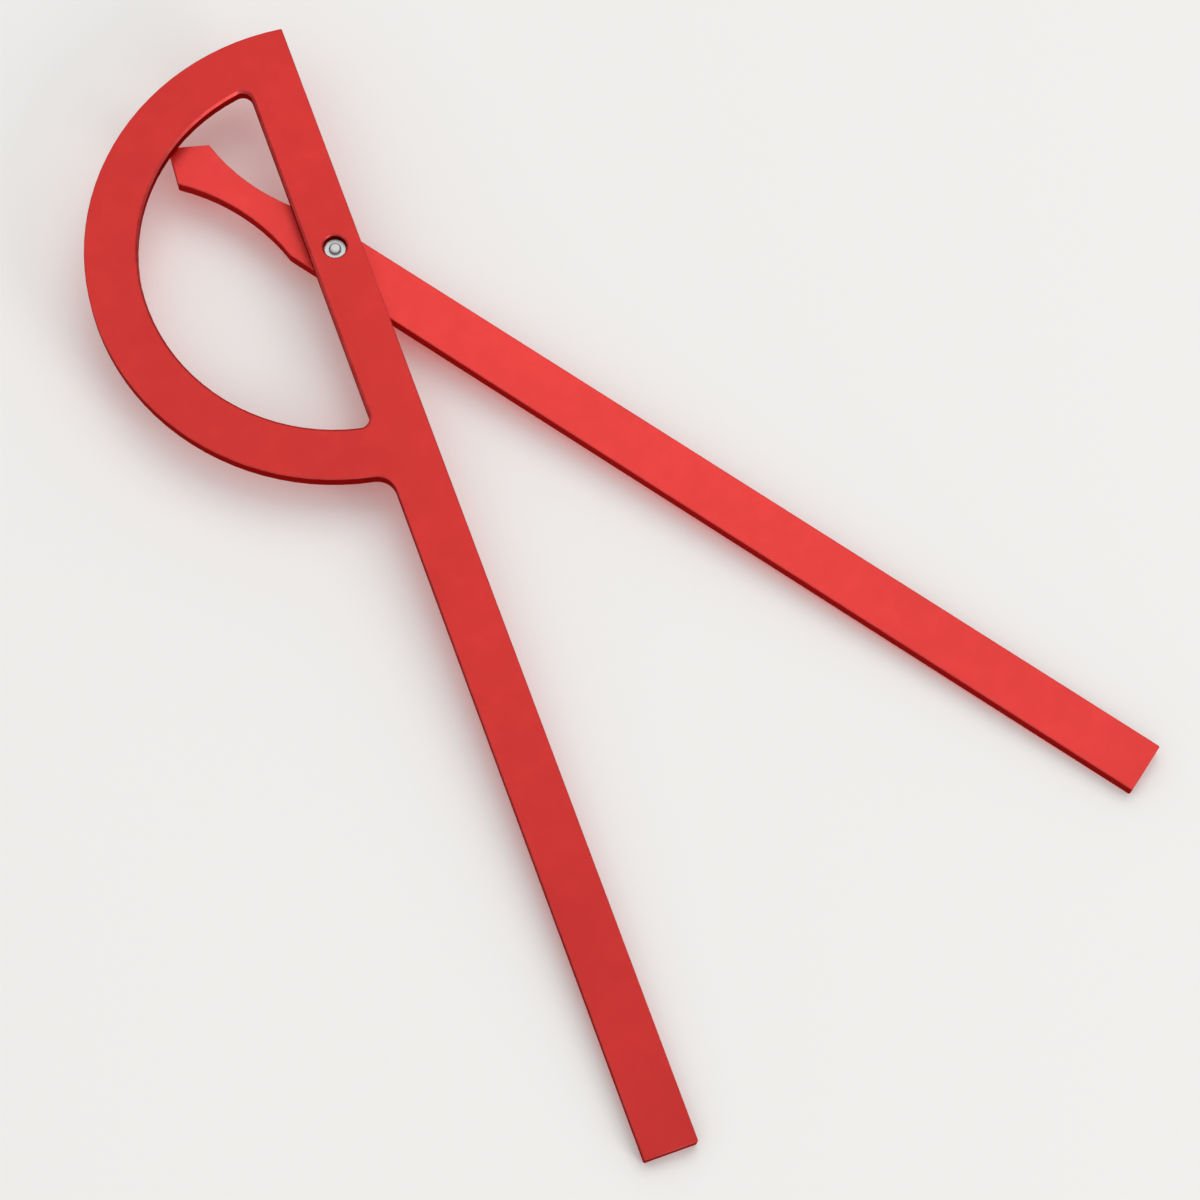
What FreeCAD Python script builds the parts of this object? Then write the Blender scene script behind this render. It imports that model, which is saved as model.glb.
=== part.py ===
import FreeCAD, Part

# Angle finder: two flat arms on one pivot. The fixed arm ends in a half-round protractor head
# with a D-shaped window, and the moving arm ends in an arrow head that points at the ring.
# Millimetres. The origin is on the pivot axis, in the plane of the nut's outer face. +Z points
# up, from the nut to the plain back of the fixed arm. The fixed arm runs along -Y.

import math
import os

import Sketcher

V = FreeCAD.Vector
Z_AXIS = V(0, 0, 1)
NEAR = 1e-4

# A sketch constraint names a point of an edge by number, and the sketch's own axes count down.
WHOLE_EDGE, START, END, CENTRE = range(4)
HORIZONTAL_AXIS, VERTICAL_AXIS = range(-1, -3, -1)
ORIGIN_POINT = (HORIZONTAL_AXIS, START)

# Name, value and meaning of each driving dimension, in millimetres and degrees.
DIMENSIONS = [
    ("bar_width", 16.0, "width of both arms"),
    ("plate_thickness", 4.8, "thickness of both plates"),
    ("edge_break", 0.25, "chamfer round the outside of both plates"),
    ("corner_round", 0.5, "radius of the plates' outer corners"),
    ("fixed_reach", 289.0, "pivot to the end of the fixed arm"),
    ("moving_reach", 286.5, "pivot to the end of the moving arm"),
    ("head_radius", 75.0, "outer radius of the protractor head"),
    ("window_radius", 59.0, "radius of the window in the head"),
    ("window_corner", 3.2, "radius of the window's two corners"),
    ("window_chamfer", 0.7, "chamfer round the window"),
    ("junction_radius", 6.0, "fillet where the head meets the fixed arm"),
    ("pointer_reach", 62.0, "pivot to the tip of the arrow head"),
    ("pointer_length", 9.5, "length of the arrow head from its shoulders to its tip"),
    ("neck_start", 11.0, "pivot to where the tail starts to narrow"),
    ("neck_width", 8.9, "width of the tail at its narrowest"),
    ("recess_diameter", 7.2, "recess for the pivot's head"),
    ("recess_depth", 2.7, "depth of that recess"),
    ("recess_chamfer", 0.4, "chamfer round that recess"),
    ("shank_diameter", 3.0, "shank of the pivot screw"),
    ("shank_clearance", 0.05, "radial clearance of the shank in each hole"),
    ("washer_clearance", 0.1, "radial clearance of the shank in each washer"),
    ("head_diameter", 3.8, "formed head of the pivot screw"),
    ("head_height", 1.1, "height of that head"),
    ("head_round", 0.95, "rounding of that head's upper edge"),
    ("shank_point", 0.4, "chamfer at the lower end of the shank"),
    ("head_washer_diameter", 6.3, "washer in the recess"),
    ("head_washer_thickness", 0.5, "thickness of the washer in the recess"),
    ("spacer_washer_diameter", 12.0, "washer between the plates"),
    ("spacer_washer_thickness", 1.0, "gap between the plates"),
    ("nut_washer_diameter", 9.0, "washer above the nut"),
    ("nut_washer_thickness", 0.5, "thickness of the washer above the nut"),
    ("nut_diameter", 12.0, "knurled rim of the nut"),
    ("nut_rim_height", 3.0, "height of the knurled rim"),
    ("nut_height", 7.5, "height of the whole nut"),
    ("nut_collar", 7.4, "diameter of the nut's collar"),
    ("nut_chamfer", 0.4, "chamfer at both ends of the knurled rim and round the collar's end"),
    ("knurl_depth", 0.35, "depth of each groove of the knurl"),
    ("knurl_width", 0.8, "width of each groove of the knurl at the rim"),
    ("knurl_count", 36, "grooves round the rim"),
    ("rest_angle", 36.4, "angle between the arms as modelled"),
]

# Sizes that follow from those above. Levels are heights above the nut's outer face.
DERIVED = [
    ("half_width", "=bar_width / 2", "half the width of both arms"),
    ("shank_hole", "=shank_diameter + 2 * shank_clearance", "hole for the shank in both arms and the nut"),
    ("washer_hole", "=shank_diameter + 2 * washer_clearance", "hole for the shank in each washer"),
    ("shoulder_reach", "=pointer_reach - pointer_length", "pivot to the arrow head's shoulders"),
    ("neck_length", "=shoulder_reach - neck_start", "length of the waisted part of the tail"),
    ("neck_cut", "=bar_width - neck_width", "what the waist takes off the width"),
    ("neck_radius", "=(neck_length ^ 2 + neck_cut ^ 2) / (4 * neck_cut)", "radius of each side of the waist"),
    ("nut_washer_level", "=nut_height", "level of the nut's washer"),
    ("moving_level", "=nut_washer_level + nut_washer_thickness", "level of the moving arm"),
    ("spacer_level", "=moving_level + plate_thickness", "level of the washer between the plates"),
    ("fixed_level", "=spacer_level + spacer_washer_thickness", "level of the fixed arm"),
    ("recess_level", "=fixed_level + plate_thickness - recess_depth", "level of the recess's floor"),
    ("seat_level", "=recess_level + head_washer_thickness", "level that the pivot's head sits on"),
]


def make_sheet(doc):
    """Puts the driving dimensions and what follows from them in a spreadsheet, with aliases."""
    sheet = doc.addObject("Spreadsheet::Sheet", "dims")
    for row, (name, value, meaning) in enumerate(DIMENSIONS + DERIVED, start=1):
        sheet.set(f"A{row}", name)
        sheet.set(f"B{row}", str(value))
        sheet.set(f"C{row}", meaning)
        sheet.setAlias(f"B{row}", name)
        doc.recompute([sheet])
    return sheet


def make_body(doc, name):
    """A body named and labelled after its piece."""
    body = doc.addObject("PartDesign::Body", name)
    body.Label = name
    return body


def set_level(body, formula):
    """Lifts a body to a level that follows the sheet."""
    body.setExpression("Placement.Base.z", formula)


def make_sketch(body, name, role, lift=None):
    """A sketch on one of the body's own origin planes, lifted along the plane's normal."""
    sketch = body.newObject("Sketcher::SketchObject", name)
    plane = next(item for item in body.Origin.OriginFeatures if item.Role == role)
    sketch.AttachmentSupport = (plane, "")
    sketch.MapMode = "FlatFace"
    if lift:
        sketch.setExpression("AttachmentOffset.Base.z", lift)
    return sketch


def join(sketch, kind, groups):
    """Adds the same kind of constraint for each group of points or edges."""
    for group in groups:
        sketch.addConstraint(Sketcher.Constraint(kind, *group))


def tie(sketch, kind, group, formula):
    """Adds a dimension to a sketch and binds it to a formula in the sheet's names."""
    value = float(sketch.evalExpression(formula))
    number = sketch.addConstraint(Sketcher.Constraint(kind, *group, value))
    name = f"size_{number}"
    sketch.renameConstraint(number, name)
    sketch.setExpression(f"Constraints.{name}", formula)


def line(x1, y1, x2, y2):
    return Part.LineSegment(V(x1, y1, 0), V(x2, y2, 0))


def arc(x, y, radius, start, end):
    """An arc about (x, y) that runs counterclockwise between two angles in radians."""
    return Part.ArcOfCircle(Part.Circle(V(x, y, 0), Z_AXIS, radius), start, end)


def add_polygon(sketch, points):
    """Adds a closed run of straight edges through the points, joined end to end."""
    count = len(points)
    following = points[1:] + points[:1]
    sketch.addGeometry([line(*here, *there) for here, there in zip(points, following)])
    join(sketch, "Coincident", [(edge, END, (edge + 1) % count, START) for edge in range(count)])


def sketch_circles(body, name, diameters, lift=None):
    """Circles about the body's axis, each with its own diameter formula."""
    sketch = make_sketch(body, name, "XY_Plane", lift)
    for circle, formula in enumerate(diameters):
        radius = float(sketch.evalExpression(formula)) / 2
        sketch.addGeometry(Part.Circle(V(0, 0, 0), Z_AXIS, radius))
        join(sketch, "Coincident", [(circle, CENTRE, *ORIGIN_POINT)])
        tie(sketch, "Diameter", [circle], formula)
    return sketch


def pad(body, name, sketch, formula):
    feature = body.newObject("PartDesign::Pad", name)
    feature.Profile = sketch
    feature.setExpression("Length", formula)
    body.Document.recompute()
    return feature


def pocket(body, name, sketch, formula=None, upwards=False):
    """Cuts a sketch to a depth, or right through, and checks that it removed something."""
    before = body.Shape.Volume
    feature = body.newObject("PartDesign::Pocket", name)
    feature.Profile = sketch
    feature.Reversed = upwards
    if formula:
        feature.setExpression("Length", formula)
    else:
        feature.Type = "ThroughAll"
    body.Document.recompute()
    if body.Shape.Volume >= before:
        raise RuntimeError(f"{name} cut nothing")
    return feature


def revolve(body, name, sketch):
    """Turns a sketch on the XZ plane about the pivot axis."""
    feature = body.newObject("PartDesign::Revolution", name)
    feature.Profile = sketch
    feature.ReferenceAxis = (sketch, ["V_Axis"])
    body.Document.recompute()
    return feature


def fillet(body, name, base, parts, formula):
    feature = body.newObject("PartDesign::Fillet", name)
    feature.Base = (base, parts)
    feature.setExpression("Radius", formula)
    body.Document.recompute()
    return feature


def chamfer(body, name, base, parts, formula):
    feature = body.newObject("PartDesign::Chamfer", name)
    feature.Base = (base, parts)
    feature.setExpression("Size", formula)
    body.Document.recompute()
    return feature


def flat_faces(feature, levels):
    """Names of the flat faces that lie wholly at one of the given levels."""
    names = []
    for number, face in enumerate(feature.Shape.Faces, start=1):
        box = face.BoundBox
        if any(abs(box.ZMin - level) < NEAR and abs(box.ZMax - level) < NEAR for level in levels):
            names.append(f"Face{number}")
    return names


def hole_edges(feature, levels):
    """Names of the edges round the holes in the flat faces at the given levels."""
    inner = []
    for name in flat_faces(feature, levels):
        face = feature.Shape.getElement(name)
        for wire in face.Wires:
            if not wire.isSame(face.OuterWire):
                inner += wire.Edges
    edges = enumerate(feature.Shape.Edges, start=1)
    return [f"Edge{number}" for number, edge in edges if any(edge.isSame(other) for other in inner)]


def round_edges(feature, circles):
    """Names of the round edges that have one of the given radii at its given level."""
    names = []
    for number, edge in enumerate(feature.Shape.Edges, start=1):
        if not isinstance(edge.Curve, Part.Circle):
            continue
        for radius, level in circles:
            if abs(edge.Curve.Radius - radius) < NEAR and abs(edge.Curve.Center.z - level) < NEAR:
                names.append(f"Edge{number}")
    return names


def upright_edges(feature, points):
    """Names of the upright edges that stand on one of the given points."""
    names = []
    for number, edge in enumerate(feature.Shape.Edges, start=1):
        box = edge.BoundBox
        upright = box.ZLength > NEAR > max(box.XLength, box.YLength)
        if upright and any(math.hypot(box.XMin - x, box.YMin - y) < NEAR for x, y in points):
            names.append(f"Edge{number}")
    return names


def head_top(sheet):
    """How far the head's sharp top corner stands from the pivot, along the arm."""
    return math.sqrt(sheet.head_radius ** 2 - sheet.half_width ** 2)


def sketch_fixed_outline(body, sheet):
    """The bar and the half-round head in one line, with the fillet between them."""
    half = sheet.half_width
    top = head_top(sheet)
    end_y = -sheet.fixed_reach
    bend_x = -half - sheet.junction_radius
    bend_y = -math.sqrt((sheet.head_radius + sheet.junction_radius) ** 2 - bend_x ** 2)
    swing = math.atan2(-bend_y, -bend_x)
    sketch = make_sketch(body, "fixed_outline", "XY_Plane")
    right, end, left, bend, ring = range(5)
    sketch.addGeometry([
        line(half, top, half, end_y),
        line(half, end_y, -half, end_y),
        line(-half, end_y, -half, bend_y),
        arc(bend_x, bend_y, sheet.junction_radius, 0, swing),
        arc(0, 0, sheet.head_radius, math.atan2(top, half), math.pi + swing),
    ])
    join(sketch, "Coincident", [(right, START, ring, START), (right, END, end, START)])
    join(sketch, "Coincident", [(end, END, left, START), (ring, CENTRE, *ORIGIN_POINT)])
    join(sketch, "Tangent", [(left, END, bend, START), (bend, END, ring, END)])
    join(sketch, "Vertical", [(right,), (left,)])
    join(sketch, "Horizontal", [(end,)])
    tie(sketch, "Radius", [ring], "dims.head_radius")
    tie(sketch, "Radius", [bend], "dims.junction_radius")
    tie(sketch, "DistanceX", [*ORIGIN_POINT, right, END], "dims.half_width")
    tie(sketch, "DistanceX", [left, START, *ORIGIN_POINT], "dims.half_width")
    tie(sketch, "DistanceY", [right, END, *ORIGIN_POINT], "dims.fixed_reach")
    return sketch


def sketch_window(body, sheet):
    """The D-shaped window: a straight side along the bar, an arc and two rounded corners."""
    half = sheet.half_width
    corner = sheet.window_corner
    corner_x = -half - corner
    corner_y = math.sqrt((sheet.window_radius - corner) ** 2 - corner_x ** 2)
    lean = math.atan2(corner_y, corner_x)
    turn = 2 * math.pi
    sketch = make_sketch(body, "window_outline", "XY_Plane")
    side, lower, ring, upper = range(4)
    sketch.addGeometry([
        line(-half, corner_y, -half, -corner_y),
        arc(corner_x, -corner_y, corner, turn - lean, turn),
        arc(0, 0, sheet.window_radius, lean, turn - lean),
        arc(corner_x, corner_y, corner, 0, lean),
    ])
    join(sketch, "Tangent", [(side, END, lower, END), (lower, START, ring, END)])
    join(sketch, "Tangent", [(ring, START, upper, END), (upper, START, side, START)])
    join(sketch, "Coincident", [(ring, CENTRE, *ORIGIN_POINT)])
    join(sketch, "Vertical", [(side,)])
    join(sketch, "Equal", [(lower, upper)])
    tie(sketch, "Radius", [ring], "dims.window_radius")
    tie(sketch, "Radius", [lower], "dims.window_corner")
    tie(sketch, "DistanceX", [side, START, *ORIGIN_POINT], "dims.half_width")
    return sketch


def make_fixed_arm(doc, sheet):
    """Bar and protractor head in one plate, with its window and the recess for the pivot."""
    body = make_body(doc, "fixed_arm")
    half = sheet.half_width
    both_faces = [0, sheet.plate_thickness]
    plate = pad(body, "fixed_plate", sketch_fixed_outline(body, sheet), "dims.plate_thickness")
    corners = [(half, head_top(sheet)), (half, -sheet.fixed_reach), (-half, -sheet.fixed_reach)]
    plate = fillet(body, "fixed_corners", plate, upright_edges(plate, corners), "dims.corner_round")
    chamfer(body, "fixed_edge_break", plate, flat_faces(plate, both_faces), "dims.edge_break")
    window = pocket(body, "window", sketch_window(body, sheet), upwards=True)
    chamfer(body, "window_rim", window, hole_edges(window, both_faces), "dims.window_chamfer")
    mouth = sketch_circles(body, "recess_outline", ["dims.recess_diameter"], "dims.plate_thickness")
    recess = pocket(body, "recess", mouth, "dims.recess_depth")
    rim = round_edges(recess, [(sheet.recess_diameter / 2, sheet.plate_thickness)])
    chamfer(body, "recess_rim", recess, rim, "dims.recess_chamfer")
    hole = sketch_circles(body, "fixed_hole_outline", ["dims.shank_hole"])
    pocket(body, "fixed_hole", hole, upwards=True)
    set_level(body, "dims.fixed_level")
    return body


def sketch_moving_outline(body, sheet):
    """The bar, its waisted tail and the arrow head, the same on both sides of the Y axis."""
    half = sheet.half_width
    end_y = -sheet.moving_reach
    tip_y = sheet.pointer_reach
    waist_x = sheet.neck_width / 2 + sheet.neck_radius
    waist_y = (sheet.neck_start + sheet.shoulder_reach) / 2
    lean = math.asin(sheet.neck_length / 2 / sheet.neck_radius)
    sketch = make_sketch(body, "moving_outline", "XY_Plane")
    end, right, right_neck, right_barb, left_barb, left_neck, left = range(7)
    sketch.addGeometry([
        line(-half, end_y, half, end_y),
        line(half, end_y, half, sheet.neck_start),
        arc(waist_x, waist_y, sheet.neck_radius, math.pi - lean, math.pi + lean),
        line(half, sheet.shoulder_reach, 0, tip_y),
        line(0, tip_y, -half, sheet.shoulder_reach),
        arc(-waist_x, waist_y, sheet.neck_radius, -lean, lean),
        line(-half, sheet.neck_start, -half, end_y),
    ])
    join(sketch, "Coincident", [(end, END, right, START), (right, END, right_neck, END)])
    join(sketch, "Coincident", [(right_neck, START, right_barb, START), (right_barb, END, left_barb, START)])
    join(sketch, "Coincident", [(left_barb, END, left_neck, END), (left_neck, START, left, START)])
    join(sketch, "Coincident", [(left, END, end, START)])
    join(sketch, "Horizontal", [(end,)])
    join(sketch, "Vertical", [(right,), (left,)])
    join(sketch, "Symmetric", [(right, END, left, START, VERTICAL_AXIS)])
    join(sketch, "Symmetric", [(right_barb, START, left_barb, END, VERTICAL_AXIS)])
    join(sketch, "PointOnObject", [(right_barb, END, VERTICAL_AXIS)])
    join(sketch, "Equal", [(right_neck, left_neck)])
    tie(sketch, "DistanceX", [*ORIGIN_POINT, right, START], "dims.half_width")
    tie(sketch, "DistanceX", [*ORIGIN_POINT, right_barb, START], "dims.half_width")
    tie(sketch, "DistanceY", [end, START, *ORIGIN_POINT], "dims.moving_reach")
    tie(sketch, "DistanceY", [*ORIGIN_POINT, right, END], "dims.neck_start")
    tie(sketch, "DistanceY", [*ORIGIN_POINT, right_barb, START], "dims.shoulder_reach")
    tie(sketch, "DistanceY", [*ORIGIN_POINT, right_barb, END], "dims.pointer_reach")
    tie(sketch, "Radius", [right_neck], "dims.neck_radius")
    return sketch


def make_moving_arm(doc, sheet):
    """Straight bar with a waisted tail and an arrow head, on its own hole about the pivot."""
    body = make_body(doc, "moving_arm")
    half = sheet.half_width
    plate = pad(body, "moving_plate", sketch_moving_outline(body, sheet), "dims.plate_thickness")
    corners = [(side, y) for side in (-half, half) for y in (-sheet.moving_reach, sheet.shoulder_reach)]
    corners.append((0, sheet.pointer_reach))
    plate = fillet(body, "moving_corners", plate, upright_edges(plate, corners), "dims.corner_round")
    faces = flat_faces(plate, [0, sheet.plate_thickness])
    chamfer(body, "moving_edge_break", plate, faces, "dims.edge_break")
    hole = sketch_circles(body, "moving_hole_outline", ["dims.shank_hole"])
    pocket(body, "moving_hole", hole, upwards=True)
    set_level(body, "dims.moving_level")
    body.setExpression("Placement.Rotation.Angle", "dims.rest_angle * 1 deg")
    return body


def make_washer(doc, name, level):
    """A flat ring on the shank, with its diameter and thickness named after it in the sheet."""
    body = make_body(doc, name)
    ring = sketch_circles(body, f"{name}_outline", ["dims.washer_hole", f"dims.{name}_diameter"])
    pad(body, f"{name}_ring", ring, f"dims.{name}_thickness")
    set_level(body, f"dims.{level}")
    return body


def make_pivot_screw(doc, sheet):
    """Shank with a bevelled lower end, and a low head with a rounded edge on the washer."""
    body = make_body(doc, "pivot_screw")
    shank = sheet.shank_diameter / 2
    point = sheet.shank_point
    seat = sheet.seat_level
    head = sheet.head_diameter / 2
    crown = seat + sheet.head_height
    sketch = make_sketch(body, "screw_profile", "XZ_Plane")
    axis, tip, bevel, side, under, rim, top = range(7)
    add_polygon(sketch, [
        (0, crown), (0, 0), (shank - point, 0), (shank, point), (shank, seat), (head, seat), (head, crown),
    ])
    join(sketch, "Coincident", [(axis, END, *ORIGIN_POINT)])
    join(sketch, "Vertical", [(axis,), (side,), (rim,)])
    join(sketch, "Horizontal", [(tip,), (under,), (top,)])
    tie(sketch, "DistanceX", [*ORIGIN_POINT, side, START], "dims.shank_diameter / 2")
    tie(sketch, "DistanceX", [bevel, START, bevel, END], "dims.shank_point")
    tie(sketch, "DistanceY", [bevel, START, bevel, END], "dims.shank_point")
    tie(sketch, "DistanceY", [*ORIGIN_POINT, under, START], "dims.seat_level")
    tie(sketch, "DistanceX", [*ORIGIN_POINT, under, END], "dims.head_diameter / 2")
    tie(sketch, "DistanceY", [rim, START, rim, END], "dims.head_height")
    turned = revolve(body, "screw_turned", sketch)
    fillet(body, "head_edge", turned, round_edges(turned, [(head, crown)]), "dims.head_round")
    return body


def sketch_nut(body, sheet):
    """Half the nut's section: the bore, the wide rim below and the narrow collar above."""
    bore = sheet.shank_hole / 2
    outer = sheet.nut_diameter / 2
    collar = sheet.nut_collar / 2
    step = sheet.nut_rim_height
    height = sheet.nut_height
    sketch = make_sketch(body, "nut_profile", "XZ_Plane")
    wall, face, rim, ledge, neck, crown = range(6)
    add_polygon(sketch, [
        (bore, height), (bore, 0), (outer, 0), (outer, step), (collar, step), (collar, height),
    ])
    join(sketch, "Vertical", [(wall,), (rim,), (neck,)])
    join(sketch, "Horizontal", [(face,), (ledge,), (crown,)])
    join(sketch, "PointOnObject", [(face, START, HORIZONTAL_AXIS)])
    tie(sketch, "DistanceX", [*ORIGIN_POINT, face, START], "dims.shank_hole / 2")
    tie(sketch, "DistanceX", [*ORIGIN_POINT, face, END], "dims.nut_diameter / 2")
    tie(sketch, "DistanceX", [*ORIGIN_POINT, ledge, END], "dims.nut_collar / 2")
    tie(sketch, "DistanceY", [rim, START, rim, END], "dims.nut_rim_height")
    tie(sketch, "DistanceY", [face, START, crown, END], "dims.nut_height")
    return sketch


def sketch_groove(body, sheet):
    """One V-shaped groove of the knurl, open at the rim's outside."""
    outer = sheet.nut_diameter / 2
    half = sheet.knurl_width / 2
    sketch = make_sketch(body, "groove_outline", "XY_Plane")
    upper, lower, mouth = range(3)
    add_polygon(sketch, [(outer, half), (outer - sheet.knurl_depth, 0), (outer, -half)])
    join(sketch, "PointOnObject", [(upper, END, HORIZONTAL_AXIS)])
    join(sketch, "Symmetric", [(mouth, START, mouth, END, HORIZONTAL_AXIS)])
    tie(sketch, "DistanceX", [*ORIGIN_POINT, mouth, START], "dims.nut_diameter / 2")
    tie(sketch, "DistanceX", [lower, START, lower, END], "dims.knurl_depth")
    tie(sketch, "DistanceY", [mouth, START, mouth, END], "dims.knurl_width")
    return sketch


def make_lock_nut(doc, sheet):
    """Nut with a knurled rim at its outer end and a plain collar towards the arms."""
    body = make_body(doc, "lock_nut")
    outer = sheet.nut_diameter / 2
    turned = revolve(body, "nut_turned", sketch_nut(body, sheet))
    rims = [(outer, 0), (outer, sheet.nut_rim_height), (sheet.nut_collar / 2, sheet.nut_height)]
    chamfer(body, "nut_rims", turned, round_edges(turned, rims), "dims.nut_chamfer")
    groove = pocket(body, "groove", sketch_groove(body, sheet), "dims.nut_rim_height", upwards=True)
    grooved = body.Shape.Volume
    knurl = body.newObject("PartDesign::PolarPattern", "knurl")
    knurl.Originals = [groove]
    upright = next(item for item in body.Origin.OriginFeatures if item.Role == "Z_Axis")
    knurl.Axis = (upright, [""])
    knurl.setExpression("Occurrences", "dims.knurl_count")
    body.Tip = knurl
    doc.recompute()
    if body.Shape.Volume >= grooved:
        raise RuntimeError("the knurl has one groove only")
    return body


def check(doc, bodies):
    """Stops if a feature failed or a piece isn't one valid solid."""
    for item in doc.Objects:
        if "Invalid" in item.State or "Error" in item.State:
            raise RuntimeError(f"{item.Label} failed: {item.State}")
    for body in bodies:
        shape = body.Shape
        if shape.isNull() or not shape.isValid() or len(shape.Solids) != 1:
            raise RuntimeError(f"{body.Label} is not one valid solid")


def main():
    doc = FreeCAD.newDocument("angle_finder")
    sheet = make_sheet(doc)
    bodies = [
        make_fixed_arm(doc, sheet),
        make_moving_arm(doc, sheet),
        make_pivot_screw(doc, sheet),
        make_washer(doc, "head_washer", "recess_level"),
        make_washer(doc, "spacer_washer", "spacer_level"),
        make_washer(doc, "nut_washer", "nut_washer_level"),
        make_lock_nut(doc, sheet),
    ]
    doc.recompute()
    check(doc, bodies)
    os.makedirs("parts", exist_ok=True)
    for body in bodies:
        box = body.Shape.BoundBox
        print(body.Label, round(body.Shape.Volume, 1), "mm3, z", round(box.ZMin, 2), "to", round(box.ZMax, 2))
        body.Shape.exportStep(f"parts/{body.Label}.step")


main()
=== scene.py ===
# %% [markdown]
# # An angle finder with two arms
#
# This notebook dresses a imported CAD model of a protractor-headed angle finder. The shapes come from
# the CAD, because they are flat plates with crisp edges that are best drawn as sketches. Blender
# adds what a CAD solid can't hold: the dyed oxide on the aluminium, the turned metal of the pivot,
# and the degree scale that is marked on the side that lies against the table.

import math

import bpy
from mathutils import Matrix, Vector


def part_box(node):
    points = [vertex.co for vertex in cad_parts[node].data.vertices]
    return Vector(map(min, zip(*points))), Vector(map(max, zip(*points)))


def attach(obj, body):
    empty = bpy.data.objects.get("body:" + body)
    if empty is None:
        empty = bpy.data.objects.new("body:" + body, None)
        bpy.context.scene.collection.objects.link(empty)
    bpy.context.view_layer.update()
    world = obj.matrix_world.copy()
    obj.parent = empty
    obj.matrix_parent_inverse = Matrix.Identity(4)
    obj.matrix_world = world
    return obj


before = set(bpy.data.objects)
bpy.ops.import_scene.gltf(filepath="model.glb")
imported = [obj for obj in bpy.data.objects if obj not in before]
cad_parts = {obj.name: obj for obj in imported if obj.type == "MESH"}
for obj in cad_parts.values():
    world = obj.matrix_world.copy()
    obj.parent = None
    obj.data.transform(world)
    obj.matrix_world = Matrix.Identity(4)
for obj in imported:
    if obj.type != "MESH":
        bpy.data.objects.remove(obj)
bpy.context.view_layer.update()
MM = 0.001


# %% [markdown]
# ## Small helpers for node trees
#
# A material in Blender is a graph of nodes. Writing each link by hand gets long, so this class
# makes the nodes in one line each: it adds a node, sets what is constant on its own sockets, and
# links what comes from another node. Constants stay on the shader's sockets, where an exporter can
# read them. Noise mostly lies between 0.3 and 0.7, and a narrower band of it makes harder patches.

# %% A small writer for node graphs
SOFT_PATCHES = (0.3, 0.7)
HARD_PATCHES = (0.35, 0.65)


class Graph:
    """Adds nodes to a tree. An input given as a socket is linked, and any other is set."""

    def __init__(self, tree):
        self.tree = tree

    def feed(self, socket, value):
        if isinstance(value, bpy.types.NodeSocket):
            self.tree.links.new(value, socket)
        else:
            socket.default_value = value

    def add(self, kind, inputs=None, **settings):
        node = self.tree.nodes.new(kind)
        for name, value in settings.items():
            setattr(node, name, value)
        for name, value in (inputs or {}).items():
            self.feed(node.inputs[name], value)
        return node

    def math(self, operation, *values):
        node = self.add("ShaderNodeMath", dict(enumerate(values)), operation=operation)
        return node.outputs[0]

    def noise(self, vector, scale, detail=2.0, roughness=0.5):
        inputs = {"Vector": vector, "Scale": scale, "Detail": detail, "Roughness": roughness}
        return self.add("ShaderNodeTexNoise", inputs).outputs["Fac"]

    def between(self, value, low, high, to_low=0.0, to_high=1.0):
        """Maps low..high to another range, and stays inside it."""
        inputs = {"Value": value, "From Min": low, "From Max": high,
                  "To Min": to_low, "To Max": to_high}
        return self.add("ShaderNodeMapRange", inputs, clamp=True).outputs["Result"]

    def mix(self, factor, first, second):
        """Blends two colours, each a socket or four numbers."""
        node = self.add("ShaderNodeMix", {0: factor, 6: first, 7: second}, data_type="RGBA")
        return node.outputs[2]

    def bump(self, height, strength, depth):
        """A normal that follows a height, depth metres deep."""
        inputs = {"Strength": strength, "Distance": depth, "Height": height}
        return self.add("ShaderNodeBump", inputs).outputs["Normal"]


def new_material(name):
    """An empty material, its graph, its main shader's inputs and its Object coordinates."""
    material = bpy.data.materials.new(name)
    material.use_nodes = True
    material.node_tree.nodes.clear()
    graph = Graph(material.node_tree)
    shader = graph.add("ShaderNodeBsdfPrincipled")
    graph.add("ShaderNodeOutputMaterial", {"Surface": shader.outputs["BSDF"]})
    place = graph.add("ShaderNodeTexCoord").outputs["Object"]
    return material, graph, shader.inputs, place


def shade(colour, share=1.0):
    """A share of a colour, with the alpha that a socket wants."""
    return tuple(min(1.0, share * part) for part in colour) + (1.0,)


def put(name, data):
    """A new object in the scene that shows the data."""
    thing = bpy.data.objects.new(name, data)
    bpy.context.scene.collection.objects.link(thing)
    return thing


print("helpers: Graph, new_material, shade, put")
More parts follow.
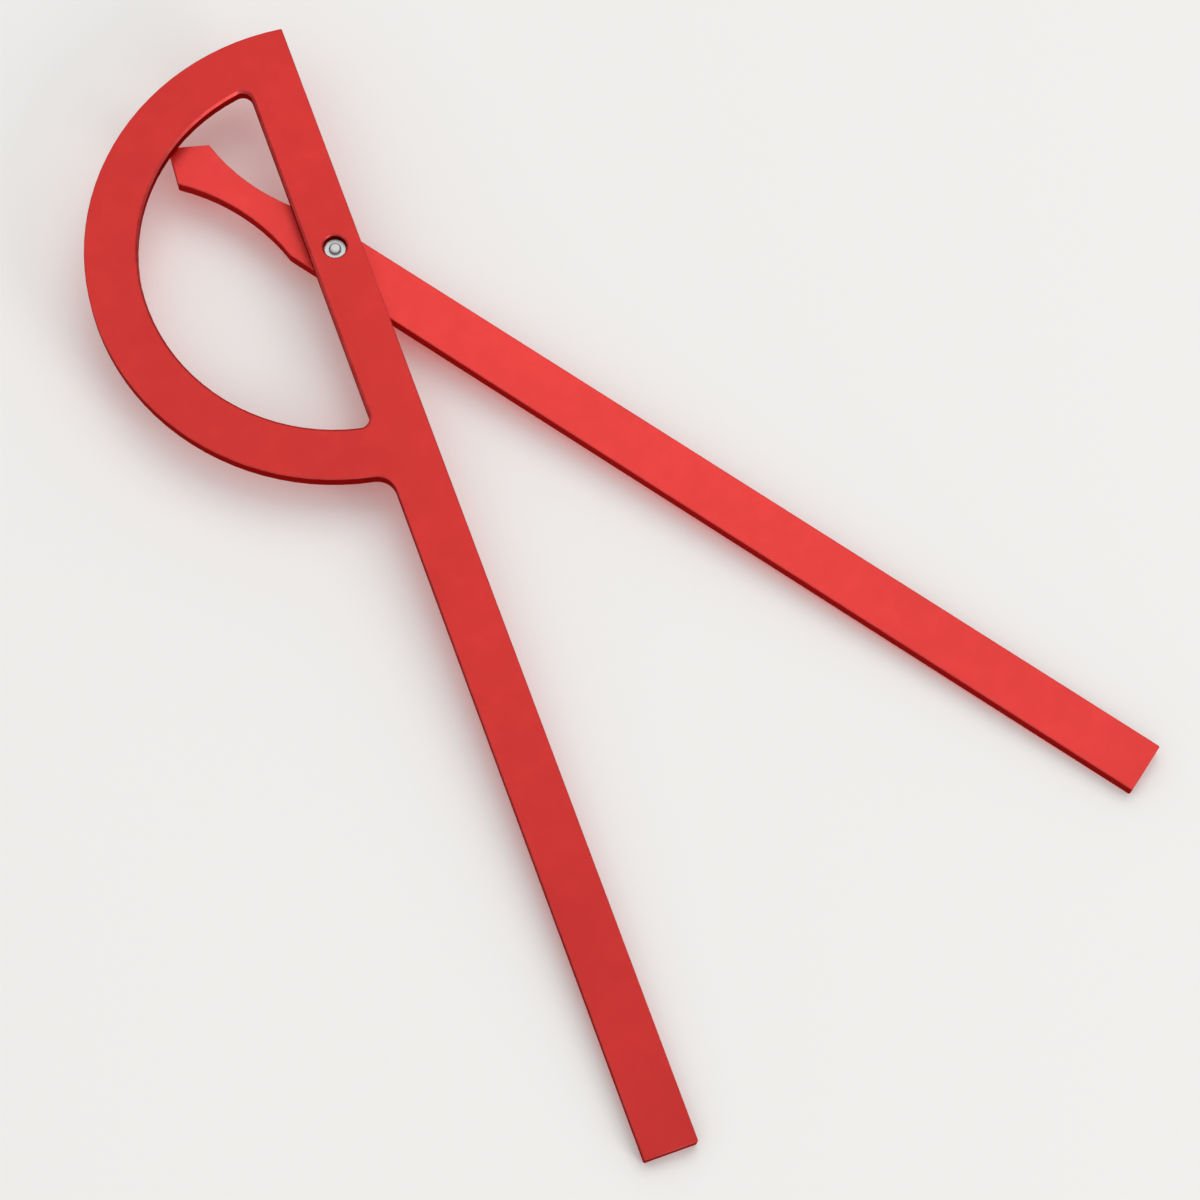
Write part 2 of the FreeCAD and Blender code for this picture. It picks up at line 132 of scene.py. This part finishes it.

# %% [markdown]
# ## Satin red anodised aluminium
#
# Anodising grows a thin clear oxide on the metal, and a dye fills it. The plates were tumbled or
# blasted before that, so the surface is satin: reflections are wide and soft, and a very fine grain
# shows from near. Where a tool broke the edges, the oxide is thinner; those edges take a lighter
# colour, partly for that wear and partly as a painted highlight. A metallic shader with a saturated
# base colour gives the dye over metal, and noise in the roughness and a tiny bump give the blasted
# grain. The slanted edge faces and the milled sides are found by how level they are: the upright
# part of the normal is 1 on a face, 0.7 on a broken edge and 0 on a side. The sides are painted
# darker than the faces, a painted shade for where they turn from the light. Light that grazes the
# plate still passes through the dye, so the edge tint is red as well.

# %% Make the anodised finishes
GRAIN_PER_M = 5200.0
GRAIN_STRENGTH, GRAIN_DEPTH = 0.12, 0.04 * MM
CLOUD_PER_M = 26.0
CLOUD_DARK, CLOUD_LIGHT = 0.93, 1.05
SPECKLE_SHARE = 0.35
HANDLING_PER_M = 140.0
HANDLING_PATCHES, HANDLING_POLISH = (0.45, 0.7), 0.04
SATIN_ROUGH = (0.42, 0.52)
WEAR_AND_HIGHLIGHT_RANGE = (0.25, 0.8)
EDGE_OR_SIDE, EDGE_OR_FACE = (0.2, 0.4), (0.97, 0.9)
SIDE_OR_EDGE = (0.35, 0.1)
# Painted shade: the upright sides are darkened to this share of the dye.
SIDE_PAINTED_SHADE = 0.46
GRAZING_TINT = (0.92, 0.28, 0.26, 1.0)


def anodised(name, dye, worn_and_highlight):
    """Satin dyed aluminium: dye colours faces, the other colour is edge wear and painted highlight.
    """
    material, graph, shader, place = new_material(name)
    grain = graph.noise(place, GRAIN_PER_M, detail=3.0, roughness=0.6)
    cloud = graph.noise(place, CLOUD_PER_M, detail=3.0)
    handling = graph.noise(place, HANDLING_PER_M, detail=4.0, roughness=0.7)
    dark, light = shade(dye, CLOUD_DARK), shade(dye, CLOUD_LIGHT)
    tone = graph.mix(graph.between(cloud, *SOFT_PATCHES), dark, light)
    speckle = graph.mix(graph.between(grain, *HARD_PATCHES), tone, light)
    tone = graph.mix(SPECKLE_SHARE, tone, speckle)

    normal = graph.add("ShaderNodeNewGeometry").outputs["True Normal"]
    upward = graph.add("ShaderNodeSeparateXYZ", {"Vector": normal}).outputs["Z"]
    level = graph.math("ABSOLUTE", upward)
    broken = graph.math("MULTIPLY", graph.between(level, *EDGE_OR_SIDE),
                        graph.between(level, *EDGE_OR_FACE))
    patchy = graph.between(handling, *HARD_PATCHES, *WEAR_AND_HIGHLIGHT_RANGE)
    # The broken edges take the lighter colour: partly wear, partly a painted highlight.
    wear_and_highlight = graph.math("MULTIPLY", broken, patchy)
    # Painted shade: the upright sides are made darker than the faces.
    tone = graph.mix(graph.between(level, *SIDE_OR_EDGE), tone, shade(dye, SIDE_PAINTED_SHADE))
    graph.feed(shader["Base Color"], graph.mix(wear_and_highlight, tone, shade(worn_and_highlight)))

    satin = graph.between(grain, *SOFT_PATCHES, *SATIN_ROUGH)
    touched = graph.between(handling, *HANDLING_PATCHES)
    touched = graph.math("MULTIPLY", touched, HANDLING_POLISH)
    graph.feed(shader["Roughness"], graph.math("SUBTRACT", satin, touched))
    graph.feed(shader["Metallic"], 1.0)
    graph.feed(shader["Specular Tint"], GRAZING_TINT)
    graph.feed(shader["Normal"], graph.bump(grain, GRAIN_STRENGTH, GRAIN_DEPTH))
    return material


# The second colour of each pair is the broken edges': partly wear, partly a painted highlight.
FIXED_DYE, FIXED_WORN_AND_HIGHLIGHT = (0.525, 0.0365, 0.0330), (0.780, 0.105, 0.100)
MOVING_DYE, MOVING_WORN_AND_HIGHLIGHT = (0.645, 0.0510, 0.0470), (0.820, 0.110, 0.105)
red_fixed = anodised("anodised_deep_red", FIXED_DYE, FIXED_WORN_AND_HIGHLIGHT)
red_moving = anodised("anodised_light_red", MOVING_DYE, MOVING_WORN_AND_HIGHLIGHT)
print("anodised finishes:", red_fixed.name, red_moving.name)

# %% [markdown]
# ## Turned metals
#
# The pivot, its washers and the nut are turned on a lathe, which leaves fine rings round the axis.
# Rings are a function of the distance from the pivot axis, and that axis is the Z axis of the
# Object coordinates, so one length of the flat part of the coordinates is all the pattern needs.
# The steel pieces have a cloudy plating, so they are a little less metallic than the bare brass.

# %% Make the turned metals
RINGS_PER_M = 3400.0
RING_STRENGTH = 0.35
WOBBLE_PER_M, WOBBLE = 900.0, 0.06 * MM
STAIN_PER_M = 420.0
STAIN_PATCHES, STAIN_DEPTH = (0.35, 0.7), 0.88


def turned_metal(name, colour, rough, ring_depth, metallic=1.0):
    """Metal with fine turning rings round the pivot axis."""
    material, graph, shader, place = new_material(name)
    flat = graph.add("ShaderNodeVectorMath", {0: place, 1: (1.0, 1.0, 0.0)}, operation="MULTIPLY")
    length = graph.add("ShaderNodeVectorMath", {0: flat.outputs[0]}, operation="LENGTH")
    wobble = graph.math("MULTIPLY", graph.noise(place, WOBBLE_PER_M), WOBBLE)
    radius = graph.math("ADD", length.outputs["Value"], wobble)
    rings = graph.math("SINE", graph.math("MULTIPLY", radius, RINGS_PER_M * 2 * math.pi))
    stain = graph.noise(place, STAIN_PER_M, detail=4.0, roughness=0.65)
    stained = graph.between(stain, *STAIN_PATCHES)
    tone = graph.mix(stained, shade(colour, STAIN_DEPTH), shade(colour))
    graph.feed(shader["Base Color"], tone)
    graph.feed(shader["Roughness"], graph.between(stain, *SOFT_PATCHES, *rough))
    graph.feed(shader["Metallic"], metallic)
    graph.feed(shader["Normal"], graph.bump(rings, RING_STRENGTH, ring_depth))
    return material


bright_steel = turned_metal(
    "bright_turned_steel", (0.62, 0.64, 0.63),
    rough=(0.42, 0.56), ring_depth=0.010 * MM, metallic=0.7)
washer_steel = turned_metal(
    "zinc_washer_steel", (0.58, 0.62, 0.63),
    rough=(0.34, 0.48), ring_depth=0.018 * MM, metallic=0.8)
nut_brass = turned_metal(
    "turned_brass", (0.80, 0.58, 0.27),
    rough=(0.22, 0.36), ring_depth=0.024 * MM)
print("turned metals:", bright_steel.name, washer_steel.name, nut_brass.name)

# %% [markdown]
# ## Black nylon
#
# The washer between the plates is stamped from black nylon, so that dyed metal never rubs on dyed
# metal. It could be plain black plastic, but a faint mottle in its tone, gloss and bump keeps it
# from looking like a hole where it shows between the arms.

# %% Make the nylon
MOTTLE_PER_M = 1600.0
MOTTLE_PATCHES, MOTTLE_LIGHT = (0.4, 0.7), 1.6
MOTTLE_STRENGTH, MOTTLE_DEPTH = 0.2, 0.03 * MM
NYLON_ROUGH = (0.48, 0.62)


def nylon(name, colour):
    """Black nylon with the faint sheen and mottle of a stamped washer."""
    material, graph, shader, place = new_material(name)
    mottle = graph.noise(place, MOTTLE_PER_M, detail=3.0)
    mottled = graph.between(mottle, *MOTTLE_PATCHES)
    tone = graph.mix(mottled, shade(colour), shade(colour, MOTTLE_LIGHT))
    graph.feed(shader["Base Color"], tone)
    graph.feed(shader["Roughness"], graph.between(mottle, *SOFT_PATCHES, *NYLON_ROUGH))
    graph.feed(shader["Normal"], graph.bump(mottle, MOTTLE_STRENGTH, MOTTLE_DEPTH))
    return material


black_nylon = nylon("black_nylon", (0.022, 0.022, 0.024))
print("plastic:", black_nylon.name)

# %% [markdown]
# ## Dress the CAD solids
#
# The solids already have their true shapes, edge breaks and fits, so they stay as they are and only
# take a finish. The moving arm is given a lighter red than the fixed arm.

# %% Give each solid its finish
FINISHES = {
    "fixed_arm": red_fixed,
    "moving_arm": red_moving,
    "pivot_screw": bright_steel,
    "head_washer": washer_steel,
    "spacer_washer": black_nylon,
    "nut_washer": washer_steel,
    "lock_nut": nut_brass,
}
for node_name, finish in FINISHES.items():
    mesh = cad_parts[node_name].data
    mesh.materials.clear()
    mesh.materials.append(finish)
    print(node_name, "takes", finish.name)

# %% [markdown]
# ## The finish of the scale
#
# The head is a protractor, and its scale is on the face next to the moving arm, where the arrow
# runs. A laser burns the dye away and leaves pale, dull metal. That could be a mask in the plate's
# own material, but marks with real edges stay sharp from any distance, so the scale is thin
# geometry with a finish of its own.

# %% Make the laser's finish
MARK_GREY, MARK_PALE = (0.70, 0.66, 0.64), (0.86, 0.84, 0.82)
MARK_ROUGH = (0.50, 0.65)
MARK_METALLIC = 0.35


def laser_marks(name):
    """Pale bare metal where the dye is burnt away."""
    material, graph, shader, place = new_material(name)
    grain = graph.noise(place, GRAIN_PER_M, detail=3.0)
    burnt = graph.between(grain, *SOFT_PATCHES)
    tone = graph.mix(burnt, shade(MARK_GREY), shade(MARK_PALE))
    graph.feed(shader["Base Color"], tone)
    graph.feed(shader["Roughness"], graph.between(grain, *SOFT_PATCHES, *MARK_ROUGH))
    graph.feed(shader["Metallic"], MARK_METALLIC)
    return material


marked = laser_marks("laser_marked_metal")
print("finish of the scale:", marked.name)

# %% [markdown]
# ## The degree marks
#
# The scale starts at 0 in line with the fixed arm's far side and ends at 180 over the arm, so the
# arrow shows the angle between the two arms. The marks follow one rule, so Geometry Nodes make
# them: one bar per degree, set round the pivot, longer at every fifth degree and longest at every
# tenth.

# %% Build the tree that lays out the degree marks
TREE_SIZES = ("Start Radius", "Mark Width", "Mark Depth", "Short", "Middle", "Long", "Level")
FIFTH, TENTH = 5.0, 10.0
SAME_NUMBER = 0.1


def scale_tree(name):
    """Named sizes in, one bar per degree out, as real geometry with its material."""
    tree = bpy.data.node_groups.new(name, "GeometryNodeTree")
    tree.interface.new_socket("Geometry", in_out="OUTPUT", socket_type="NodeSocketGeometry")
    for size_name in TREE_SIZES:
        tree.interface.new_socket(size_name, in_out="INPUT", socket_type="NodeSocketFloat")
    tree.interface.new_socket("Count", in_out="INPUT", socket_type="NodeSocketInt")
    graph = Graph(tree)
    given = graph.add("NodeGroupInput").outputs
    index = graph.add("GeometryNodeInputIndex").outputs[0]
    line = graph.add("GeometryNodeMeshLine", {"Count": given["Count"], "Offset": (0.0, 0.0, 0.0)})

    def longer_at(step, length, long_length):
        at_step = graph.math("COMPARE", graph.math("MODULO", index, step), 0.0, SAME_NUMBER)
        inputs = {"Switch": at_step, "False": length, "True": long_length}
        return graph.add("GeometryNodeSwitch", inputs, input_type="FLOAT").outputs[0]

    length = longer_at(FIFTH, given["Short"], given["Middle"])
    length = longer_at(TENTH, length, given["Long"])
    middle = graph.math("ADD", given["Start Radius"], graph.math("MULTIPLY", length, 0.5))
    angle = graph.math("RADIANS", index)
    left = graph.math("MULTIPLY", graph.math("SINE", angle), graph.math("MULTIPLY", middle, -1.0))
    up = graph.math("MULTIPLY", graph.math("COSINE", angle), middle)

    def vector(**parts):
        return graph.add("ShaderNodeCombineXYZ", parts).outputs[0]

    place = vector(X=left, Y=up, Z=given["Level"])
    size = vector(X=given["Mark Width"], Y=length, Z=given["Mark Depth"])
    moved = graph.add("GeometryNodeSetPosition", {"Geometry": line.outputs[0], "Position": place})
    bar = graph.add("GeometryNodeMeshCube", {"Size": (1.0, 1.0, 1.0)})
    bars = graph.add("GeometryNodeInstanceOnPoints", {
        "Points": moved.outputs[0],
        "Instance": bar.outputs[0],
        "Rotation": vector(Z=angle),
        "Scale": size,
    })
    solid = graph.add("GeometryNodeRealizeInstances", {"Geometry": bars.outputs[0]})
    inputs = {"Geometry": solid.outputs[0], "Material": marked}
    coloured = graph.add("GeometryNodeSetMaterial", inputs)
    graph.add("NodeGroupOutput", {"Geometry": coloured.outputs[0]})
    return tree


marks_tree = scale_tree("degree_marks")
print("tree of the marks:", len(marks_tree.nodes), "nodes")

# %% [markdown]
# ## From rule to mesh
#
# The tree runs once on an empty mesh, and what it makes is kept as a plain mesh. A live modifier
# would look the same, but a plain mesh turns with its body and exports without surprises. The bars
# start a hair under the plate's face and stand a hair proud of it, so that no two faces coincide.

# %% Bake the degree marks
DEGREES = 180
SCALE_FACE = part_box("fixed_arm")[0].z
MARK_SKIN = 0.02 * MM
MARK_SUNK = 0.01 * MM
MARK_LEVEL = SCALE_FACE - (MARK_SKIN - MARK_SUNK) / 2
MARK_SIZES = {
    "Start Radius": 63.4 * MM,
    "Mark Width": 0.20 * MM,
    "Mark Depth": MARK_SKIN + MARK_SUNK,
    "Short": 2.2 * MM,
    "Middle": 3.4 * MM,
    "Long": 4.6 * MM,
    "Level": MARK_LEVEL,
    "Count": DEGREES + 1,
}


def baked(tree, values, name):
    """Runs a tree on an empty mesh and keeps the result as a plain mesh object."""
    carrier = put(name, bpy.data.meshes.new(name))
    modifier = carrier.modifiers.new(name, "NODES")
    modifier.node_group = tree
    for item in tree.interface.items_tree:
        if item.in_out == "INPUT" and item.name in values:
            modifier[item.identifier] = values[item.name]
    ready = carrier.evaluated_get(bpy.context.evaluated_depsgraph_get())
    mesh = bpy.data.meshes.new_from_object(ready)
    carrier.modifiers.remove(modifier)
    carrier.data = mesh
    return carrier


degree_marks = baked(marks_tree, MARK_SIZES, "degree_marks")
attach(degree_marks, "fixed_side")
print("degree marks:", len(degree_marks.data.polygons), "faces")

# %% [markdown]
# ## The numbers of the scale
#
# A number stands outside every tenth mark, its foot towards the pivot, so it reads upright from
# the middle of the tool. Plain numbers are text curves made into meshes. They are read from the far
# side of the plate, so each is turned face down, which swaps left and right as seen from above.

# %% Set the numbers round the ring
NUMBER_EVERY = 10
NUMBER_HEIGHT = 3.1 * MM
NUMBER_FOOT = 68.8 * MM
DIGIT_SHARE = 0.73
CURVE_STEPS = 3


def number_mesh(text):
    """A number as a flat mesh in the XY plane, its foot on the X axis and centred on the Y axis."""
    curve = bpy.data.curves.new(f"number_{text}", "FONT")
    curve.body = text
    curve.align_x = "CENTER"
    curve.align_y = "BOTTOM_BASELINE"
    curve.size = NUMBER_HEIGHT / DIGIT_SHARE
    curve.extrude = (MARK_SKIN + MARK_SUNK) / 2
    curve.resolution_u = CURVE_STEPS
    holder = put(curve.name, curve)
    ready = holder.evaluated_get(bpy.context.evaluated_depsgraph_get())
    mesh = bpy.data.meshes.new_from_object(ready)
    bpy.data.objects.remove(holder)
    return mesh


number_vertices, number_faces = [], []
to_foot = Matrix.Translation((0, NUMBER_FOOT, 0)) @ Matrix.Rotation(math.pi, 4, "Y")
for degree in range(0, DEGREES + 1, NUMBER_EVERY):
    mesh = number_mesh(str(degree))
    outwards = Matrix.Rotation(math.radians(degree), 4, "Z")
    place = Matrix.Translation((0, 0, MARK_LEVEL)) @ outwards @ to_foot
    first = len(number_vertices)
    number_vertices += [place @ vertex.co for vertex in mesh.vertices]
    number_faces += [[first + corner for corner in face.vertices] for face in mesh.polygons]
scale_mesh = bpy.data.meshes.new("scale_numbers")
scale_mesh.from_pydata(number_vertices, [], number_faces)
scale_mesh.materials.append(marked)
scale_numbers = put("scale_numbers", scale_mesh)
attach(scale_numbers, "fixed_side")
print("numbers:", len(scale_mesh.polygons), "faces")

# %% [markdown]
# ## The plane of the table
#
# The tool lies with the nut under the pivot, so it is propped up there and touches the table again
# at the far ends of both arms. Three points fix a plane: the nut's lowest point on the near side,
# and the lower edge of each arm's end. The nut is round, so its lowest point depends on the tilt,
# and a few rounds of trying settle both.

# %% Find the tool's three feet
REST_ANGLE = math.radians(36.4)
ARM_HALF = 8.0 * MM
FIXED_REACH = 289.0 * MM
MOVING_REACH = 286.5 * MM
NUT_RADIUS = 5.6 * MM
TRIES = 8
TOUCHING = 1e-7


def table_plane():
    """A point and the upward normal of the plane under the nut and both arm ends."""
    fixed_level, moving_level = SCALE_FACE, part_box("moving_arm")[0].z
    turn = Matrix.Rotation(REST_ANGLE, 3, "Z")
    sides = (-ARM_HALF, ARM_HALF)
    fixed_feet = [Vector((side, -FIXED_REACH, fixed_level)) for side in sides]
    moving_feet = [turn @ Vector((side, -MOVING_REACH, 0)) for side in sides]
    moving_feet = [Vector((corner.x, corner.y, moving_level)) for corner in moving_feet]
    for fixed_foot in fixed_feet:
        for moving_foot in moving_feet:
            nut_foot = Vector((0.0, 0.0, 0.0))
            for _ in range(TRIES):
                normal = (fixed_foot - nut_foot).cross(moving_foot - nut_foot).normalized()
                if normal.z < 0:
                    normal.negate()
                nut_foot = -Vector((normal.x, normal.y, 0.0)).normalized() * NUT_RADIUS
            heights = [(corner - nut_foot).dot(normal) for corner in fixed_feet + moving_feet]
            if all(height > -TOUCHING for height in heights):
                return nut_foot, normal
    raise ValueError("the tool has no three feet")


foot, floor_normal = table_plane()
print("floor tilts by", round(math.degrees(math.acos(floor_normal.z)), 2), "degrees")

# %% [markdown]
# ## The floor
#
# The floor is a plain pale sheet in that plane. It could be a solid slab, but then the tool's scale
# side could never be seen or lit. So it shows from above only, and it lets the rays that look for a
# lamp pass.

# %% Lay the floor
FLOOR_HALF = 3.0
FLOOR_CORNERS = ((-1, -1, 0), (1, -1, 0), (1, 1, 0), (-1, 1, 0))
FLOOR_COLOUR = (0.98, 0.97, 0.95, 1.0)


def floor_paint(name):
    """Matt paint that is clear from behind and for shadow rays."""
    material = bpy.data.materials.new(name)
    material.use_nodes = True
    material.node_tree.nodes.clear()
    graph = Graph(material.node_tree)
    paint = graph.add("ShaderNodeBsdfDiffuse", {"Color": FLOOR_COLOUR})
    clear = graph.add("ShaderNodeBsdfTransparent")
    under = graph.add("ShaderNodeNewGeometry").outputs["Backfacing"]
    shadow_ray = graph.add("ShaderNodeLightPath").outputs["Is Shadow Ray"]
    passing = graph.math("MAXIMUM", under, shadow_ray)
    inputs = {0: passing, 1: paint.outputs[0], 2: clear.outputs[0]}
    either = graph.add("ShaderNodeMixShader", inputs)
    graph.add("ShaderNodeOutputMaterial", {"Surface": either.outputs[0]})
    return material


floor_mesh = bpy.data.meshes.new("floor")
tilt = Vector((0, 0, 1)).rotation_difference(floor_normal).to_matrix()
floor_corners = [foot + tilt @ (Vector(corner) * FLOOR_HALF) for corner in FLOOR_CORNERS]
floor_mesh.from_pydata(floor_corners, [], [(0, 1, 2, 3)])
floor_mesh.materials.append(floor_paint("pale_floor"))
floor = put("floor", floor_mesh)
print("floor:", floor.name, "in", floor_mesh.materials[0].name)

# %% [markdown]
# ## The surround
#
# A room's walls and ceiling light the tool from everywhere, and satin metal shows them as wide soft
# reflections. A picture of a room would do that, but a plain grey that gets paler towards the
# straight up and straight down is enough here and leaves the sides of the plates dark.

# %% Make the surround
ZENITH, HORIZON = 0.79, 0.38
WHITE = (1.0, 1.0, 1.0, 1.0)

world = bpy.data.worlds.new("pale_surround")
bpy.context.scene.world = world
world.use_nodes = True
world.node_tree.nodes.clear()
graph = Graph(world.node_tree)
direction = graph.add("ShaderNodeTexCoord").outputs["Generated"]
upward = graph.add("ShaderNodeSeparateXYZ", {"Vector": direction}).outputs["Z"]
sky = graph.between(graph.math("ABSOLUTE", upward), 0.0, 1.0, HORIZON, ZENITH)
lit = graph.add("ShaderNodeBackground", {"Color": WHITE, "Strength": sky})
graph.add("ShaderNodeOutputWorld", {"Surface": lit.outputs[0]})
print("surround:", world.name, "from", HORIZON, "to", ZENITH)

# %% [markdown]
# ## The lamps
#
# The main light is one broad soft lamp beyond the top of the picture and a little to the right. It
# makes soft shadows that fall down the picture. A second, smaller lamp stands low in front and puts
# the bright line on the broken edge of the window. A third lights the hidden side, for a look from
# below.

# %% Set the lamps
CENTRE = Vector((40.0, -110.0, 16.0)) * MM
LAMPS = {
    "window_light": {"direction": (0.30, 0.42, 0.86), "distance": 4.0, "size": 3.0, "power": 34.0},
    "room_light": {"direction": (0.47, -0.77, 0.41), "distance": 3.0, "size": 1.0, "power": 17.0},
    "under_light": {"direction": (0.0, 0.0, -1.0), "distance": 3.0, "size": 3.4, "power": 62.0},
}


def area_light(name, direction, distance, size, power):
    """A square lamp that looks at the tool's middle, in metres and watts."""
    lamp = bpy.data.lights.new(name, "AREA")
    lamp.size = size
    lamp.energy = power
    holder = put(name, lamp)
    direction = Vector(direction)
    holder.location = CENTRE + direction.normalized() * distance
    holder.rotation_mode = "QUATERNION"
    holder.rotation_quaternion = direction.to_track_quat("Z", "Y")


for lamp_name, settings in LAMPS.items():
    area_light(lamp_name, **settings)
    print(lamp_name, "shines with", settings["power"], "W")

# %% [markdown]
# ## The camera of the photograph
#
# The camera was solved from the straight bars and the round ring, whose shapes are known. It stands
# about a metre away and nineteen degrees off the vertical, with a lens of about 100 mm. Its axes
# are written as they were solved, so that the outlines fall on those in the photograph.

# %% Set the camera
CAMERA_PLACE = Vector((-114.939, -409.540, 946.514)) * MM
CAMERA_RIGHT = Vector((0.93754301, -0.34424709, 0.05007035))
CAMERA_UP = Vector((0.31161633, 0.89506929, 0.31897684))
CAMERA_BACK = Vector((-0.15462328, -0.28345177, 0.94643898))
SENSOR = 36.0
LENS = 100.992
CLIP_NEAR, CLIP_FAR = 0.01, 20.0

eye = bpy.data.cameras.new("photo_camera")
eye.sensor_width = SENSOR
eye.lens = LENS
eye.clip_start = CLIP_NEAR
eye.clip_end = CLIP_FAR
camera = put("photo_camera", eye)
camera_axes = Matrix((CAMERA_RIGHT, CAMERA_UP, CAMERA_BACK)).transposed()
camera.matrix_world = Matrix.Translation(CAMERA_PLACE) @ camera_axes.to_4x4()
bpy.context.scene.camera = camera
bpy.context.scene.view_settings.view_transform = "Standard"
print("camera is", round((CAMERA_PLACE - CENTRE).length, 3), "m from the tool's middle")
